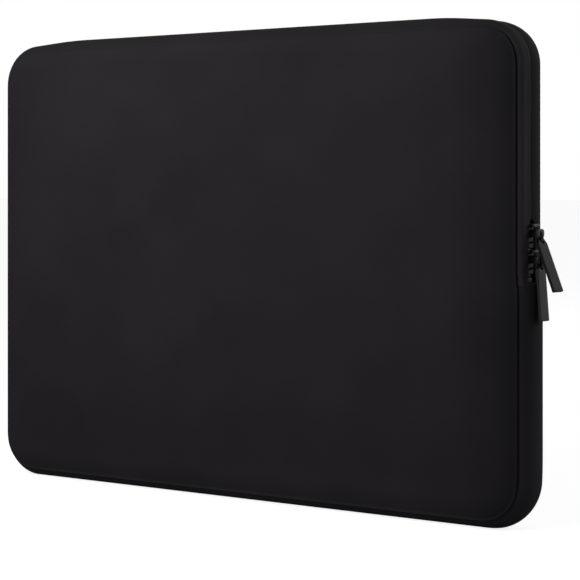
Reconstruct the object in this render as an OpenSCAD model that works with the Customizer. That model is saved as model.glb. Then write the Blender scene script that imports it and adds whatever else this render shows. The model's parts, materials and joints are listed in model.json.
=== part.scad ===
// Padded laptop sleeve with a two-slider zip that runs over the top.
// +X runs along the long edge, the front faces -Y, +Z is up.
// The origin is the centre of the flat strip that the sleeve stands on.

/* [Outline] */
// Distance between the side seams
seam_w = 360; // [320:1:400]
// Distance between the bottom and top seams
seam_h = 265; // [230:1:300]
// Radius of the seam line at the four corners
corner_r = 21; // [18:1:30]
// Distance between the front and back seams
gusset_w = 26; // [26:0.5:28]

/* [Walls] */
// Height of the crown of each panel above its seam
crown = 4; // [3.5:0.1:4.5]
// Width of the band in which a panel rolls over to its seam
roll_w = 15; // [14:0.5:16]
// Thickness of the knitted outer cover
cover_t = 1.5; // [1:0.1:1.6]
// Thickness of the lining
lining_t = 1; // [0.6:0.1:1.2]
// Outward bulge of the lower gusset
lower_bulge = 5.5; // [5:0.1:6]
// Outward bulge of the two zip facings
upper_bulge = 4.5; // [4.3:0.1:4.8]
// Thickness of the lower gusset
gusset_t = 3; // [2.5:0.1:3]
// Thickness of the zip facings
facing_t = 2.2; // [2:0.1:2.3]

/* [Zip] */
// Height at which both ends of the zip stop and the front flap folds
fold_z = 131; // [110:1:140]
// Half width of the slit between the zip facings
slit_half = 1.4; // [1.3:0.05:1.6]
// Half width of the slit where the sliders are parked
notch_half = 4.9; // [4.6:0.1:5.5]
// Length of the wide part of the slit
notch_len = 36; // [36:1:40]
// Width of one zip tape
tape_w = 7.5; // [6:0.1:7.5]
// Thickness of the zip tapes
tape_t = 0.6; // [0.4:0.05:0.7]

/* [Sliders] */
// Height of the upper slider's pull axis above the fold
upper_slider_rise = 24; // [23.8:0.1:24.4]
// Distance between the two sliders' pull axes
slider_pitch = 13.8; // [13.6:0.1:13.9]
// Length of a slider
slider_len = 13; // [12:0.1:13]
// Half width of a slider's plates
slider_half = 4.2; // [3.6:0.1:4.2]
// Outward offset of the pull axes from the side seams
pull_axis_out = 7.1; // [7:0.05:7.2]
// Distance from the pull axis to the end of the pull
pull_len = 29.6; // [27:0.2:30]
// Width of a pull
pull_w = 8.8; // [8:0.1:9]
// Thickness of a pull
pull_t = 1.6; // [1.2:0.1:1.6]
// Angle of the upper pull from hanging straight down
upper_pull_angle = 22; // [22:1:28]
// Angle of the lower pull from hanging straight down
lower_pull_angle = 4.5; // [4:0.5:6]
// Turn of the upper pull towards the front
upper_pull_turn = 8; // [8:1:12]
// Turn of the lower pull towards the front
lower_pull_turn = 4; // [2:1:5]

/* [Hidden] */
$fn = 96;

// Clearance between pieces that are sewn or glued to each other
gap = 0.05;
// Cutting shapes reach this far past what they cut
cut = 1;
// The flat strip under the sleeve lies this far inside the gusset's bulge
base_flat = 1;

seam_y = gusset_w / 2;
seam_z = lower_bulge - base_flat;
top_z = seam_z + seam_h;
side_x = seam_w / 2;
face_y = seam_y + crown;
straight_x = side_x - corner_r;

// The panel's edge is an arc that leaves the flat face smoothly
roll_r = (roll_w * roll_w + crown * crown) / (2 * crown);

// Layers below a panel's cover, as distances from the middle plane
foam_in_y = 11;
lining_in_y = foam_in_y - lining_t;
// The foam and the lining stop this far inside the seam, which leaves room for the binding
core_inset = 8.2;
gusset_lining_half = 10.8;
binding_w = 2.8;
binding_h = 1.9;
binding_low = -8;
binding_y = -12.9;

// Zip chain, as outward offsets from the side seam line
tape_out = -0.9;
coil_gap = 0.02;
coil_out = tape_out + tape_t + coil_gap;
coil_t = 1.02;
coil_in_y = 0.7;
coil_out_y = 2.6;
tape_in_y = 0.9;
chain_start = 4;
stop_start = 0.8;
stop_len = 2.8;
stop_out = 1.2;
stop_half = 2.8;

tab_t = 1.2;
tab_out = -3.6;
tab_half = 8.5;
tab_below = 12;
tab_above = 3;

// Slider plates and bridge
plate_t = 0.8;
top_plate_out = 1.65;
bottom_plate_out = -2;
slider_below_axis = 4.7;
post_half = 0.55;
post_len = 4;
bridge_half = 1.1;
bridge_t = 0.6;
bridge_gap = 1.15;
bridge_leg_t = 1;
bridge_below = 2;
bridge_above = 5.4;
// The bridge and the nose ridge are rooted this deep in the outer plate
root_depth = 0.3;
ridge_start = 6.2;
ridge_len = 2;
ridge_out = 5.6;

eye_half = 1.7;
eye_len = 3.6;
pull_head_half = 2.5;

upper_axis_z = fold_z + upper_slider_rise;
lower_axis_z = upper_axis_z - slider_pitch;

// ---- outlines and sweeps ----

// Rounded rectangle of the seam line, moved inward by inset, in X and Z
module outline(inset) {
  r = corner_r - inset;
  w = seam_w - 2 * inset;
  translate([-w / 2, seam_z + inset + r]) square([w, seam_h - 2 * inset - 2 * r]);
  translate([-w / 2 + r, seam_z + inset]) square([w - 2 * r, seam_h - 2 * inset]);
  for (sx = [-1, 1])
    for (cz = [seam_z + corner_r, top_z - corner_r])
      translate([sx * straight_x, cz]) circle(r);
}

// The part of the outline between two heights, as a sheet between two distances in front
module sheet(inset, y_in, y_out, z_low, z_high) {
  translate([0, -y_in, 0])
    rotate([90, 0, 0])
      linear_extrude(height = y_out - y_in)
        intersection() {
          outline(inset);
          translate([-side_x, z_low]) square([seam_w, z_high - z_low]);
        }
}

// A profile of outward offset and Y, carried round a bottom right corner
module corner_run() {
  rotate([-90, 0, 0])
    rotate_extrude(angle = 90)
      translate([corner_r, 0]) children();
}

// A profile carried along the bottom edge between the corners
module edge_run() {
  translate([-straight_x, 0, 0])
    rotate([0, 90, 0])
      linear_extrude(height = 2 * straight_x) children();
}

// A profile carried up the right side
module side_run(z_low, z_high) {
  translate([side_x, 0, z_low])
    linear_extrude(height = z_high - z_low) children();
}

module both_sides() {
  children();
  mirror([1, 0, 0]) children();
}

// A profile carried down both sides from a height and along the bottom
module lower_run(z_high) {
  both_sides() {
    side_run(seam_z + corner_r, z_high) children();
    translate([straight_x, 0, seam_z + corner_r]) corner_run() children();
  }
  translate([0, 0, seam_z]) edge_run() children();
}

// A profile carried up both sides from a height and along the top
module upper_run(z_low) {
  both_sides() {
    side_run(z_low, top_z - corner_r) children();
    translate([straight_x, 0, top_z - corner_r]) mirror([0, 0, 1]) corner_run() children();
  }
  translate([0, 0, top_z]) mirror([0, 0, 1]) edge_run() children();
}

// ---- profiles ----

// The space under a panel's rolled edge, a depth below its face
module roll_space(depth, inset, y_in) {
  intersection() {
    translate([-roll_w, roll_r - face_y]) circle(roll_r - depth);
    translate([-roll_w, -face_y]) square([roll_w - inset, face_y - y_in]);
  }
}

// Rolled edge of the cover
module cover_edge() {
  difference() {
    roll_space(0, 0, seam_y);
    translate([-roll_w, roll_r - face_y]) circle(roll_r - cover_t);
  }
}

// Rolled edge of the foam core
module foam_edge() {
  roll_space(cover_t + gap, core_inset, foam_in_y + gap);
}

function arc_r(bulge) = (seam_y * seam_y + bulge * bulge) / (2 * bulge);

// A curved strip of gusset between two distances from the middle plane
module gusset_strip(bulge, skin, t, y_low, y_high) {
  r = arc_r(bulge) - skin;
  intersection() {
    difference() {
      translate([bulge - arc_r(bulge), 0]) circle(r);
      translate([bulge - arc_r(bulge), 0]) circle(r - t);
    }
    translate([bulge - arc_r(bulge), y_low]) square([arc_r(bulge) + cut, y_high - y_low]);
  }
}

module binding_profile() {
  translate([binding_low, binding_y]) square([binding_w, binding_h]);
}

// ---- panels, cut at the fold line in front ----

// The flat middle of a panel's cover, foam or lining between two heights
module cover_plate(z_low, z_high) {
  sheet(roll_w, face_y - cover_t, face_y, z_low, z_high);
}

module core_plate(z_low, z_high) {
  sheet(roll_w, foam_in_y + gap, face_y - cover_t - gap, z_low, z_high);
}

module lining_plate(z_low, z_high) {
  sheet(core_inset, lining_in_y, foam_in_y, z_low, z_high);
}

module lower_front_panel() {
  color("#2a282b") {
    cover_plate(0, fold_z - gap);
    lower_run(fold_z - gap) cover_edge();
  }
}

module lower_front_foam() {
  color("#8f8f92") {
    core_plate(0, fold_z - gap);
    lower_run(fold_z - gap) foam_edge();
  }
}

module lower_front_lining() {
  color("#4a4a4e") lining_plate(0, fold_z - gap);
}

module flap_panel() {
  color("#2a282b") {
    cover_plate(fold_z + gap, top_z);
    upper_run(fold_z + gap) cover_edge();
  }
}

module flap_foam() {
  color("#8f8f92") {
    core_plate(fold_z + gap, top_z);
    upper_run(fold_z + gap) foam_edge();
  }
}

module flap_lining() {
  color("#4a4a4e") lining_plate(fold_z + gap, top_z);
}

module whole_run() {
  lower_run(fold_z) children();
  upper_run(fold_z) children();
}

module back_panel() {
  color("#2a282b") mirror([0, 1, 0]) {
    cover_plate(0, top_z);
    whole_run() cover_edge();
  }
}

module back_foam() {
  color("#8f8f92") mirror([0, 1, 0]) {
    core_plate(0, top_z);
    whole_run() foam_edge();
  }
}

module back_lining() {
  color("#4a4a4e") mirror([0, 1, 0]) lining_plate(0, top_z);
}

// ---- bindings over the raw seam edges inside ----

module lower_front_binding() {
  color("#1c1c1e") lower_run(fold_z - gap) binding_profile();
}

module flap_binding() {
  color("#1c1c1e") upper_run(fold_z + gap) binding_profile();
}

module back_binding() {
  color("#1c1c1e") mirror([0, 1, 0]) whole_run() binding_profile();
}

// ---- gusset ----

// The gusset's underside is pressed flat where the sleeve stands
module lower_gusset() {
  color("#1f1d20")
    difference() {
      lower_run(fold_z - gap)
        gusset_strip(lower_bulge, 0, gusset_t, -seam_y + gap, seam_y - gap);
      translate([-side_x, -seam_y, -lower_bulge]) cube([seam_w, gusset_w, lower_bulge]);
    }
}

module lower_gusset_lining() {
  color("#4a4a4e")
    lower_run(fold_z - gap)
      gusset_strip(lower_bulge, gusset_t + gap, lining_t, -gusset_lining_half, gusset_lining_half);
}

// Wide end of the slit on both sides, where sliders can be parked
module slider_notches() {
  depth = 4 * upper_bulge;
  for (sx = [-1, 1])
    translate([sx * side_x - depth / 2, 0, fold_z]) {
      translate([0, -notch_half, -cut]) cube([depth, 2 * notch_half, notch_len - notch_half + cut]);
      translate([0, 0, notch_len - notch_half]) rotate([0, 90, 0]) cylinder(h = depth, r = notch_half);
    }
}

module rear_zip_facing() {
  color("#262427")
    difference() {
      upper_run(fold_z + gap)
        gusset_strip(upper_bulge, 0, facing_t, slit_half, seam_y - gap);
      slider_notches();
    }
}

module front_zip_facing() {
  color("#262427") mirror([0, 1, 0])
    difference() {
      upper_run(fold_z + gap)
        gusset_strip(upper_bulge, 0, facing_t, slit_half, seam_y - gap);
      slider_notches();
    }
}

// ---- zip ----

module tape() {
  upper_run(fold_z + gap)
    translate([tape_out, tape_in_y]) square([tape_t, tape_w]);
}

// Each row stops short of the middle, so that the sliders' posts pass between the rows
module coil() {
  upper_run(fold_z + chain_start)
    translate([coil_out, coil_in_y]) square([coil_t, coil_out_y - coil_in_y]);
}

module rear_zip_tape() { color("#171719") tape(); }
module front_zip_tape() { color("#171719") mirror([0, 1, 0]) tape(); }
module rear_zip_coil() { color("#101012") coil(); }
module front_zip_coil() { color("#101012") mirror([0, 1, 0]) coil(); }

module end_stop() {
  translate([side_x + coil_out, -stop_half, fold_z + stop_start])
    cube([stop_out - coil_out, 2 * stop_half, stop_len]);
}

module right_end_stop() { color("#2c2c30") end_stop(); }
module left_end_stop() { color("#2c2c30") mirror([1, 0, 0]) end_stop(); }

module zip_end_tab() {
  translate([side_x + tab_out, -tab_half, fold_z - tab_below])
    cube([tab_t, 2 * tab_half, tab_below + tab_above]);
}

module right_zip_end_tab() { color("#1c1c1e") zip_end_tab(); }
module left_zip_end_tab() { color("#1c1c1e") mirror([1, 0, 0]) zip_end_tab(); }

// ---- sliders and pulls ----

// The bridge is an arch in the X-Z plane; its opening faces front and back
module bridge() {
  outer = pull_axis_out + bridge_gap + bridge_t;
  root_out = top_plate_out - root_depth;
  length = bridge_below + bridge_above;
  translate([0, -bridge_half, -bridge_below])
    difference() {
      translate([root_out, 0, 0]) cube([outer - root_out, 2 * bridge_half, length]);
      translate([top_plate_out, -cut, bridge_leg_t])
        cube([outer - bridge_t - top_plate_out, 2 * (bridge_half + cut), length - 2 * bridge_leg_t]);
    }
}

// A ridge at the slider's nose, above the bridge
module nose_ridge() {
  root_out = top_plate_out - root_depth;
  translate([root_out, -bridge_half, ridge_start])
    cube([ridge_out - root_out, 2 * bridge_half, ridge_len]);
}

// Two plates joined by a post at the upper end, with the bridge on the outer plate
module slider_at(axis_z) {
  translate([side_x, 0, axis_z]) {
    translate([top_plate_out - plate_t, -slider_half, -slider_below_axis])
      cube([plate_t, 2 * slider_half, slider_len]);
    translate([bottom_plate_out, -slider_half, -slider_below_axis])
      cube([plate_t, 2 * slider_half, slider_len]);
    translate([bottom_plate_out, -post_half, slider_len - slider_below_axis - post_len])
      cube([top_plate_out - bottom_plate_out, 2 * post_half, post_len]);
    bridge();
    nose_ridge();
  }
}

module lower_slider() { color("#303034") slider_at(lower_axis_z); }
module upper_slider() { color("#303034") slider_at(upper_axis_z); }

// A flat tab that hangs from a round bar; its eye lets the bridge through
module pull_at(axis_z, angle, turn) {
  translate([side_x + pull_axis_out, 0, axis_z])
    rotate([0, -angle, turn]) {
      rotate([90, 0, 0]) cylinder(h = 2 * pull_head_half, r = pull_t / 2, center = true);
      translate([-pull_t / 2, 0, 0])
        difference() {
          union() {
            translate([0, -pull_head_half, -eye_len]) cube([pull_t, 2 * pull_head_half, eye_len]);
            translate([0, -pull_w / 2, -pull_len]) cube([pull_t, pull_w, pull_len - eye_len]);
          }
          translate([-cut, -eye_half, -eye_len]) cube([pull_t + 2 * cut, 2 * eye_half, eye_len + cut]);
        }
    }
}

module lower_pull() { color("#353539") pull_at(lower_axis_z, lower_pull_angle, -lower_pull_turn); }
module upper_pull() { color("#353539") pull_at(upper_axis_z, upper_pull_angle, -upper_pull_turn); }

lower_front_panel();
lower_front_foam();
lower_front_lining();
back_panel();
back_foam();
back_lining();
lower_gusset();
lower_gusset_lining();
rear_zip_facing();
rear_zip_tape();
rear_zip_coil();
right_end_stop();
left_end_stop();
right_zip_end_tab();
left_zip_end_tab();
lower_front_binding();
back_binding();
flap_panel();
flap_foam();
flap_lining();
flap_binding();
front_zip_facing();
front_zip_tape();
front_zip_coil();
lower_slider();
upper_slider();
lower_pull();
upper_pull();
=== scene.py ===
import json
import math

import bmesh
import bpy
import numpy as np
from mathutils import Matrix, Vector, noise


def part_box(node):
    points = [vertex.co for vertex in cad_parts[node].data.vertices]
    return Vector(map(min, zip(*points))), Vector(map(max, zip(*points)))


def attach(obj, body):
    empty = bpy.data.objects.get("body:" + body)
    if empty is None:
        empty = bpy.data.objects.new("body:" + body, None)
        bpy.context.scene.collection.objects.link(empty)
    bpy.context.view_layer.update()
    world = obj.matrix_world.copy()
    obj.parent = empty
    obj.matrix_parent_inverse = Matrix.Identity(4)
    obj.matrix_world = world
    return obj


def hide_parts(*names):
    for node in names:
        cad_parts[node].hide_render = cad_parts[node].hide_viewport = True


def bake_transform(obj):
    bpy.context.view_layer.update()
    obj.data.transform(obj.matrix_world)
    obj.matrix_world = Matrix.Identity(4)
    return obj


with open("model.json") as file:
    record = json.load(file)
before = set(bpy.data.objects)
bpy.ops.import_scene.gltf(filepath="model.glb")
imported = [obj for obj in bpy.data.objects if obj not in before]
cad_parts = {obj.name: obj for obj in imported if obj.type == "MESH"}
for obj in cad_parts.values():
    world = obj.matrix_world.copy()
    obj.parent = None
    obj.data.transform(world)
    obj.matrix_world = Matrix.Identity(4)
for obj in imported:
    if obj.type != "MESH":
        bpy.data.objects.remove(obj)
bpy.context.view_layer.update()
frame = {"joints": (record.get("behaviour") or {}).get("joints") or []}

# Lengths below are millimetres unless a name says otherwise; meshes are written in metres.
MM = 0.001


# ---- the sizes of the object, taken from the CAD frame ----

def box_mm(node):
    low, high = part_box(node)
    return low / MM, high / MM


def joint(name):
    return next(j for j in frame["joints"] if j["name"] == name)


back_low, back_high = box_mm("back_panel")
SEAM_X = back_high.x
SEAM_Y = back_low.y
FACE_Y = back_high.y
BOTTOM_Z = back_low.z
TOP_Z = back_high.z
FOLD_Z = (box_mm("lower_front_panel")[1].z + box_mm("flap_panel")[0].z) / 2
LOWER_BULGE = box_mm("lower_gusset")[1].x - SEAM_X
UPPER_BULGE = box_mm("rear_zip_facing")[1].x - SEAM_X
LINING_FACE_Y = box_mm("back_lining")[0].y
FOAM_FACE_Y = box_mm("back_foam")[0].y
CORE_INSET = SEAM_X - box_mm("back_foam")[1].x
TAPE_LOW, TAPE_HIGH = box_mm("rear_zip_tape")
TAPE_OUT = TAPE_HIGH.x - SEAM_X
UPPER_AXIS = Vector(joint("upper_pull_swing")["pos_m"]) / MM
LOWER_AXIS = Vector(joint("lower_pull_swing")["pos_m"]) / MM

CORNER_R = 21.0
STRAIGHT_X = SEAM_X - CORNER_R
LOW_CORNER_Z = BOTTOM_Z + CORNER_R
HIGH_CORNER_Z = TOP_Z - CORNER_R


# ---- meshes ----

def make_object(name, verts, faces, uvs=None):
    """A smooth-shaded mesh object from points in mm. uvs holds one pair in mm for each vertex."""
    mesh = bpy.data.meshes.new(name)
    mesh.from_pydata((np.asarray(verts, float) * MM).tolist(), [], faces)
    if uvs is not None:
        layer = mesh.uv_layers.new(name="cloth")
        corner_vertex = np.zeros(len(mesh.loops), int)
        mesh.loops.foreach_get("vertex_index", corner_vertex)
        layer.data.foreach_set("uv", (np.asarray(uvs, float)[corner_vertex] * MM).ravel())
    mesh.polygons.foreach_set("use_smooth", [True] * len(mesh.polygons))
    obj = bpy.data.objects.new(name, mesh)
    bpy.context.scene.collection.objects.link(obj)
    face_outward(obj)
    return obj


def face_outward(obj):
    bm = bmesh.new()
    bm.from_mesh(obj.data)
    bmesh.ops.recalc_face_normals(bm, faces=bm.faces)
    bm.to_mesh(obj.data)
    bm.free()


def tube_faces(rings, sides, closed=False):
    """Faces of a tube through rings of points, either joined end to end or capped."""
    faces = []
    for i in range(rings if closed else rings - 1):
        a, b = i * sides, (i + 1) % rings * sides
        for j in range(sides):
            k = (j + 1) % sides
            faces.append((a + j, a + k, b + k, b + j))
    if not closed:
        faces.append(tuple(range(sides)))
        faces.append(tuple(range((rings - 1) * sides, rings * sides)))
    return faces


def apply_modifiers(obj):
    """Replaces the object's mesh with the result of its modifiers."""
    bpy.context.view_layer.update()
    graph = bpy.context.evaluated_depsgraph_get()
    mesh = bpy.data.meshes.new_from_object(obj.evaluated_get(graph))
    obj.modifiers.clear()
    obj.data = mesh
    return obj


def subdivide(obj, levels):
    modifier = obj.modifiers.new("subdivide", "SUBSURF")
    modifier.levels = modifier.render_levels = levels
    return apply_modifiers(obj)


def join(name, objects):
    """One object out of several."""
    bm = bmesh.new()
    for o in objects:
        o.data.transform(o.matrix_world)
        bm.from_mesh(o.data)
    merged = objects[0]
    bm.to_mesh(merged.data)
    bm.free()
    merged.matrix_world.identity()
    merged.name = name
    for o in objects[1:]:
        bpy.data.objects.remove(o)
    return merged


def coords(obj):
    """The object's vertices in mm."""
    flat = np.zeros(len(obj.data.vertices) * 3)
    obj.data.vertices.foreach_get("co", flat)
    return flat.reshape(-1, 3) / MM


def set_coords(obj, points):
    obj.data.vertices.foreach_set("co", (points * MM).ravel())
    obj.data.update()


def smooth_step(x):
    x = np.clip(x, 0, 1)
    return x * x * (3 - 2 * x)


def fill_lower_end(points):
    """Pushes the right side out a little below the zip's end, where nothing draws the gusset in."""
    x, z = points[:, 0], points[:, 2]
    below = smooth_step((FOLD_Z + 4.5 - z) / 6) * smooth_step((z - 4) / 34)
    points[:, 0] += 0.9 * below * smooth_step((x - 90) / 70)


def ripple(points, size, seed):
    """Smooth noise from -1 to 1 at each point, with bumps about size mm across."""
    return np.array([noise.noise(Vector(p) / size + Vector((seed, 0, 0))) for p in points])


# ---- the outline that every seam follows ----

def line_points(start, end, normal, step):
    count = max(2, int(round(math.dist(start, end) / step)) + 1)
    t = np.linspace(0, 1, count)[:, None]
    points = np.array(start) * (1 - t) + np.array(end) * t
    return points, np.tile(normal, (count, 1))


def arc_points(centre, start_deg, end_deg, step):
    length = abs(math.radians(end_deg - start_deg)) * CORNER_R
    angles = np.radians(np.linspace(start_deg, end_deg, int(round(length / step)) + 1))
    normals = np.stack([np.cos(angles), np.sin(angles)], 1)
    return np.array(centre) + CORNER_R * normals, normals


def path(part, step):
    """Points (x, z), outward normals and distances along the seam line. part is upper, lower or loop; hem is
    the lower part with both ends lapping over the fold."""
    right, left = (1, 0), (-1, 0)
    up, down = (0, 1), (0, -1)
    upper = [
        line_points((SEAM_X, FOLD_Z), (SEAM_X, HIGH_CORNER_Z), right, step),
        arc_points((STRAIGHT_X, HIGH_CORNER_Z), 0, 90, step),
        line_points((STRAIGHT_X, TOP_Z), (-STRAIGHT_X, TOP_Z), up, step),
        arc_points((-STRAIGHT_X, HIGH_CORNER_Z), 90, 180, step),
        line_points((-SEAM_X, HIGH_CORNER_Z), (-SEAM_X, FOLD_Z), left, step),
    ]
    lower_end = FOLD_Z + (HEM_LAP if part == "hem" else 0)
    lower = [
        line_points((-SEAM_X, lower_end), (-SEAM_X, LOW_CORNER_Z), left, step),
        arc_points((-STRAIGHT_X, LOW_CORNER_Z), 180, 270, step),
        line_points((-STRAIGHT_X, BOTTOM_Z), (STRAIGHT_X, BOTTOM_Z), down, step),
        arc_points((STRAIGHT_X, LOW_CORNER_Z), 270, 360, step),
        line_points((SEAM_X, LOW_CORNER_Z), (SEAM_X, lower_end), right, step),
    ]
    pieces = {"upper": upper, "lower": lower, "hem": lower, "loop": upper + lower}[part]
    points = [pieces[0][0]] + [p[1:] for p, _ in pieces[1:]]
    normals = [pieces[0][1]] + [n[1:] for _, n in pieces[1:]]
    points, normals = np.concatenate(points), np.concatenate(normals)
    if part == "loop":
        points, normals = points[:-1], normals[:-1]
    distance = walked(points)
    if part != "loop":
        near_end = np.array([0.1, 0.3, 0.6, 1.0, 1.5, 2.1])
        finer = np.unique(np.concatenate([distance, near_end, distance[-1] - near_end]))
        points = np.stack([np.interp(finer, distance, points[:, i]) for i in (0, 1)], 1)
        normals = np.stack([np.interp(finer, distance, normals[:, i]) for i in (0, 1)], 1)
        distance = finer
    return points, normals, distance


def walked(points):
    """Distance along a line of points."""
    return np.concatenate([[0], np.cumsum(np.linalg.norm(np.diff(points, axis=0), axis=1))])


def sweep(name, part, step, profile):
    """Carries a closed profile of (outward offset, y) along the outline. profile(s, end) gives the points at
    distance s, where end is the distance to the nearer open end."""
    points, normals, distance = path(part, step)
    closed = part == "loop"
    verts, uvs = [], []
    for p, n, s in zip(points, normals, distance):
        end = 1e9 if closed else min(s, distance[-1] - s)
        section = np.asarray(profile(s, end))
        x = p[0] + n[0] * section[:, 0]
        z = p[1] + n[1] * section[:, 0]
        verts.append(np.stack([x, section[:, 1], z], 1))
        uvs.append(np.stack([np.full(len(section), s), walked(section)], 1))
    for section in verts:
        fill_lower_end(section)
    faces = tube_faces(len(verts), len(verts[0]), closed)
    return make_object(name, np.concatenate(verts), faces, np.concatenate(uvs))


def bezier(points, count):
    """Points on a Bezier curve of any order."""
    t = np.linspace(0, 1, count)[:, None]
    level = [np.tile(p, (count, 1)).astype(float) for p in points]
    while len(level) > 1:
        level = [a * (1 - t) + b * t for a, b in zip(level, level[1:])]
    return level[0]


def side_normals(points):
    tangent = np.gradient(points, axis=0)
    tangent /= np.linalg.norm(tangent, axis=1)[:, None]
    return tangent, np.stack([-tangent[:, 1], tangent[:, 0]], 1)


def wall(face, thickness, round_end=False, round_start=False, steps=6):
    """A closed profile with one side along the face line and the other a thickness behind it, on the right
    of the line. The thickness may differ from point to point."""
    tangent, normal = side_normals(face)
    t = np.broadcast_to(thickness, len(face))[:, None]
    middle, half = face - normal * t / 2, t / 2
    turn = np.linspace(0, math.pi, steps + 2)[1:-1, None]
    loop = [face]
    if round_end:
        loop.append(middle[-1] + half[-1] * (normal[-1] * np.cos(turn) + tangent[-1] * np.sin(turn)))
    loop.append((face - normal * t)[::-1])
    if round_start:
        loop.append(middle[0] - half[0] * (normal[0] * np.cos(turn) + tangent[0] * np.sin(turn)))
    return np.concatenate(loop)


# ---- materials ----

class Nodes:
    """A short way to write the node tree of a material or a world."""

    def __init__(self, owner):
        owner.use_nodes = True
        self.owner = owner
        self.tree = owner.node_tree
        self.tree.nodes.clear()

    def add(self, kind, inputs=None, **settings):
        node = self.tree.nodes.new(kind)
        for key, value in settings.items():
            setattr(node, key, value)
        for key, value in (inputs or {}).items():
            if isinstance(value, bpy.types.NodeSocket):
                self.tree.links.new(value, node.inputs[key])
            else:
                node.inputs[key].default_value = value
        return node

    def math(self, operation, a, b=0.0, c=0.0):
        return self.add("ShaderNodeMath", {0: a, 1: b, 2: c}, operation=operation).outputs[0]

    def split(self, vector):
        return self.add("ShaderNodeSeparateXYZ", {"Vector": vector}).outputs

    def noise(self, vector, scale, detail=2.0, roughness=0.5):
        inputs = {"Vector": vector, "Scale": scale, "Detail": detail, "Roughness": roughness}
        return self.add("ShaderNodeTexNoise", inputs).outputs["Fac"]

    def voronoi(self, vector, scale):
        return self.add("ShaderNodeTexVoronoi", {"Vector": vector, "Scale": scale}).outputs["Distance"]

    def spread(self, value, low, high):
        """Maps 0..1 to low..high."""
        inputs = {"Value": value, "To Min": low, "To Max": high}
        return self.add("ShaderNodeMapRange", inputs).outputs["Result"]

    def ramp(self, value, low, high):
        """Maps low..high to 0..1, clamped."""
        inputs = {"Value": value, "From Min": low, "From Max": high}
        return self.add("ShaderNodeMapRange", inputs).outputs["Result"]

    def mix(self, factor, a, b):
        node = self.add("ShaderNodeMix", data_type="RGBA")
        for socket, value in (("Factor_Float", factor), ("A_Color", a), ("B_Color", b)):
            target = next(i for i in node.inputs if i.identifier == socket)
            if isinstance(value, bpy.types.NodeSocket):
                self.tree.links.new(value, target)
            else:
                target.default_value = value
        return next(o for o in node.outputs if o.identifier == "Result_Color")

    def bump(self, height, strength, distance_mm, normal=None):
        inputs = {"Height": height, "Strength": strength, "Distance": distance_mm * MM}
        if normal is not None:
            inputs["Normal"] = normal
        return self.add("ShaderNodeBump", inputs).outputs["Normal"]

    def finish(self, **inputs):
        """Ends the tree in a principled shader with these inputs and returns the material."""
        named = {key.replace("_", " "): value for key, value in inputs.items()}
        shader = self.add("ShaderNodeBsdfPrincipled", named)
        self.add("ShaderNodeOutputMaterial", {"Surface": shader.outputs[0]})
        return self.owner

    def place(self):
        """Place on the object, in metres."""
        return self.add("ShaderNodeTexCoord").outputs["Object"]

    def cloth(self):
        """Distance along and across the cloth, in metres."""
        return self.add("ShaderNodeUVMap", uv_map="cloth").outputs["UV"]


def shade(value, tint=(1.0, 1.0, 1.0)):
    """A colour near grey: value is its linear brightness."""
    return tuple(value * t for t in tint) + (1.0,)


def knit_height(nodes, uv, pitch_mm):
    """The columns of small V stitches of a fine jersey knit, from 0 to 1."""
    axes = nodes.split(uv)
    per_metre = 1 / (pitch_mm * MM)
    u = nodes.math("MULTIPLY", axes["X"], per_metre)
    v = nodes.math("MULTIPLY", axes["Y"], per_metre * 1.25)
    off_centre = nodes.math("ABSOLUTE", nodes.math("SUBTRACT", nodes.math("FRACT", u), 0.5))
    side = nodes.math("MULTIPLY", off_centre, 2.0)
    leg = nodes.math("MULTIPLY_ADD", side, 0.55, v)
    loop = nodes.math("SINE", nodes.math("MULTIPLY", leg, 2 * math.pi))
    column = nodes.math("SUBTRACT", 1.0, nodes.math("POWER", side, 3.0))
    return nodes.math("MULTIPLY", nodes.math("MULTIPLY_ADD", loop, 0.5, 0.5), column)


def twill_height(nodes, uv, pitch_mm):
    """Diagonal ribs of a woven tape, from 0 to 1."""
    axes = nodes.split(uv)
    per_metre = 1 / (pitch_mm * MM)
    u = nodes.math("MULTIPLY", axes["X"], per_metre)
    v = nodes.math("MULTIPLY", axes["Y"], per_metre)
    rib = nodes.math("SINE", nodes.math("MULTIPLY", nodes.math("ADD", u, v), 2 * math.pi))
    across = nodes.math("MULTIPLY_ADD", v, -3.0, u)
    thread = nodes.math("SINE", nodes.math("MULTIPLY", across, 2 * math.pi))
    return nodes.math("MULTIPLY_ADD", nodes.math("MULTIPLY", rib, thread), 0.35, 0.5)


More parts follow.
